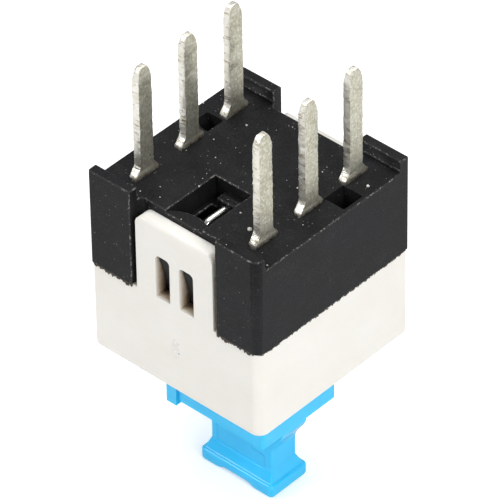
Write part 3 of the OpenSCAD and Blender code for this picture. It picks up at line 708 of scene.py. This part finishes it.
# Lock pin and return spring.
# Both are bright drawn steel wire. The lock pin is a staple that hangs in the base and follows the
# heart track, and the return spring is a coil between the plunger bore and the base roof, with its end
# turns laid flat.


def drawn_wire(name):
    s = Shades(name)
    streak = s.noise(0.06, 3, stretch=(1, 1, 0.2))
    colour = s.mix(s.range(streak, 0.3, 0.7), (0.66, 0.66, 0.65, 1), (0.86, 0.86, 0.84, 1))
    return s.finish(Base_Color=colour, Roughness=s.range(streak, 0.3, 0.7, 0.14, 0.22),
                    Normal=s.bump(streak, 0.0003), Metallic=1.0)


def staple_tree():
    """Round wire along a line whose corners are bent to one radius."""
    g = Growth("bent_wire", Wire_Radius="Float", Bend_Radius="Float", Material="Material")
    curve = g.node("GeometryNodeMeshToCurve", Mesh=g.given["Geometry"]).outputs[0]
    bent = g.node("GeometryNodeFilletCurve", {"mode": "POLY"}, Curve=curve, Count=12,
                  Radius=g.given["Bend Radius"]).outputs[0]
    section = g.node("GeometryNodeCurvePrimitiveCircle", {"mode": "RADIUS"}, Resolution=24,
                     Radius=g.given["Wire Radius"]).outputs[0]
    g.end(g.node("GeometryNodeCurveToMesh", Curve=bent, Profile_Curve=section,
                 Fill_Caps=True).outputs[0])
    return g


def coil_tree():
    """Round wire wound from one end of a line to the other; the first and last turn lie nearly flat."""
    g = Growth("wound_coil", Turns="Float", Points="Int", Coil_Radius="Float", Wire_Radius="Float",
               Pitch_End="Float", Low="Float", High="Float", Centre_Y="Float", Material="Material")
    curve = g.node("GeometryNodeMeshToCurve", Mesh=g.given["Geometry"]).outputs[0]
    even = g.node("GeometryNodeResampleCurve", {"mode": "COUNT"}, Curve=curve,
                  Count=g.given["Points"]).outputs[0]
    along = g.node("GeometryNodeSplineParameter").outputs["Factor"]
    turn = g.math("MULTIPLY", along, g.given["Turns"])
    last = g.math("SUBTRACT", g.given["Turns"], 1.0)
    flat = g.given["Pitch End"]
    room = g.math("SUBTRACT", g.math("SUBTRACT", g.given["High"], g.given["Low"]),
                  g.math("MULTIPLY", flat, 2.0))
    first_turns = g.math("ADD", g.range(turn, 0.0, 1.0, 0.0, flat), g.range(turn, 1.0, last, 0.0, room))
    rise = g.math("ADD", first_turns, g.range(turn, last, g.given["Turns"], 0.0, flat))
    angle = g.math("MULTIPLY", turn, 2 * math.pi)
    spot = g.node("ShaderNodeCombineXYZ", X=g.product(g.math("COSINE", angle), g.given["Coil Radius"]),
                  Y=g.math("ADD", g.product(g.math("SINE", angle), g.given["Coil Radius"]),
                           g.given["Centre Y"]), Z=g.math("ADD", g.given["Low"], rise)).outputs[0]
    wound = g.node("GeometryNodeSetPosition", Geometry=even, Position=spot).outputs[0]
    section = g.node("GeometryNodeCurvePrimitiveCircle", {"mode": "RADIUS"}, Resolution=14,
                     Radius=g.given["Wire Radius"]).outputs[0]
    g.end(g.node("GeometryNodeCurveToMesh", Curve=wound, Profile_Curve=section,
                 Fill_Caps=True).outputs[0])
    return g


wire_steel = drawn_wire("drawn_steel_wire")
pin_low, pin_high = (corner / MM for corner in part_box("lock_pin"))
pin_wire, bend_radius, follower_end = 0.2, 0.35, -1.4986
back_y, upper_z, lower_z = pin_low.y + pin_wire, pin_high.z - pin_wire, pin_low.z + pin_wire
staple = line_of([(0, pin_high.y, upper_z), (0, back_y, upper_z), (0, back_y, lower_z),
                  (0, follower_end, lower_z)])
staple = staple_tree().grow(staple, Wire_Radius=pin_wire, Bend_Radius=bend_radius, Material=wire_steel)
round_edges(staple, 0.04, 0.0, sharper_than=70.0)
settle(staple, "lock_pin_wire", [wire_steel], "lock", ["lock_pin"], 50.0)

coil_low, coil_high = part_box("return_spring")
coil_wire, coil_turns, points_per_turn = 0.11, 8, 40
coil_radius = (coil_high.x - coil_low.x) / MM / 2 - coil_wire
coil_axis = line_of([(0, 0, coil_low.z / MM), (0, 0, coil_high.z / MM)])
coil = coil_tree().grow(coil_axis, Turns=float(coil_turns), Points=coil_turns * points_per_turn + 1,
                        Coil_Radius=coil_radius, Wire_Radius=coil_wire, Pitch_End=2.1 * coil_wire,
                        Low=coil_low.z / MM + coil_wire, High=coil_high.z / MM - coil_wire,
                        Centre_Y=(coil_low.y + coil_high.y) / MM / 2, Material=wire_steel)
coil = settle(coil, "return_spring_coil", [wire_steel], "housing",
              ["return_spring"], 60.0)
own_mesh(coil)

# Floor, light and camera.
# A plain white floor under the push head, soft light from all round, and the camera of the photograph.
floor_mesh = bpy.data.meshes.new("floor")
floor_half, floor_own_glow, room_light = 0.6, 0.35, 0.35
floor_mesh.from_pydata([(-floor_half, -floor_half, 0), (floor_half, -floor_half, 0),
                        (floor_half, floor_half, 0), (-floor_half, floor_half, 0)], [], [(0, 1, 2, 3)])
floor = bpy.data.objects.new("floor", floor_mesh)
bpy.context.scene.collection.objects.link(floor)
floor_material = bpy.data.materials.new("floor_white")
floor_material.use_nodes = True
floor_tree = floor_material.node_tree
floor_skin = floor_tree.nodes["Principled BSDF"]
floor_skin.inputs["Base Color"].default_value = (0.86, 0.86, 0.86, 1)
floor_skin.inputs["Roughness"].default_value = 0.9
floor_skin.inputs["Specular IOR Level"].default_value = 0.1
floor_skin.inputs["Emission Color"].default_value = (1, 1, 1, 1)
floor_seen = floor_tree.nodes.new("ShaderNodeLightPath")
floor_glow = floor_tree.nodes.new("ShaderNodeMath")
floor_glow.operation = "MULTIPLY"
floor_glow.inputs[1].default_value = floor_own_glow
floor_tree.links.new(floor_seen.outputs["Is Camera Ray"], floor_glow.inputs[0])
floor_tree.links.new(floor_glow.outputs[0], floor_skin.inputs["Emission Strength"])
floor_mesh.materials.append(floor_material)

world = bpy.data.worlds.new("studio")
bpy.context.scene.world = world
world.use_nodes = True
world_tree = world.node_tree
sky = world_tree.nodes["Background"]
sky.inputs["Color"].default_value = (1, 1, 1, 1)
seen = world_tree.nodes.new("ShaderNodeLightPath")
level = world_tree.nodes.new("ShaderNodeMapRange")
level.inputs["To Min"].default_value = room_light
level.inputs["To Max"].default_value = 1.0
world_tree.links.new(seen.outputs["Is Camera Ray"], level.inputs["Value"])
world_tree.links.new(level.outputs["Result"], sky.inputs["Strength"])

subject = Vector((0, 0, 0.011))
for name, place, size, power in (("key_right", (0.16, -0.05, 0.13), 0.12, 0.25),
                                 ("fill_left", (-0.1, -0.15, 0.13), 0.09, 0.145),
                                 ("top_soft", (-0.02, 0.06, 0.2), 0.16, 0.2)):
    lamp = bpy.data.lights.new(name, "AREA")
    lamp.shape = "DISK"
    lamp.size = size
    lamp.energy = power
    lamp_object = bpy.data.objects.new(name, lamp)
    lamp_object.location = place
    lamp_object.rotation_euler = (Vector(place) - subject).to_track_quat("Z", "Y").to_euler()
    bpy.context.scene.collection.objects.link(lamp_object)

# The camera was fitted to the photograph: direction, roll, distance and lens. It looks near the middle
# of the base's top face, and its lengths are in millimetres.
azimuth, elevation, roll = (math.radians(a) for a in (42.745, 39.747, -0.941))
away, right_shift, up_shift = 213.596, -0.04979, 2.83015
back = Vector((math.sin(azimuth) * math.cos(elevation), -math.cos(azimuth) * math.cos(elevation),
               math.sin(elevation)))
level_right = Vector((math.cos(azimuth), math.sin(azimuth), 0))
level_up = back.cross(level_right)
right = level_right * math.cos(roll) + level_up * math.sin(roll)
up = level_up * math.cos(roll) - level_right * math.sin(roll)
eye = back * away - right * right_shift - up * up_shift + Vector((0, 0, top_face_z))
camera_data = bpy.data.cameras.new("camera")
focal_pixels, photo_pixels, sensor = 5714.04, 500, 36.0
camera_data.sensor_width = sensor
camera_data.lens = focal_pixels / photo_pixels * sensor
camera_data.clip_start = 0.01
camera = bpy.data.objects.new("camera", camera_data)
camera.matrix_world = Matrix(((right.x, up.x, back.x, eye.x * MM), (right.y, up.y, back.y, eye.y * MM),
                              (right.z, up.z, back.z, eye.z * MM), (0, 0, 0, 1)))
bpy.context.scene.collection.objects.link(camera)
bpy.context.scene.camera = camera
bpy.context.scene.view_settings.view_transform = "Standard"
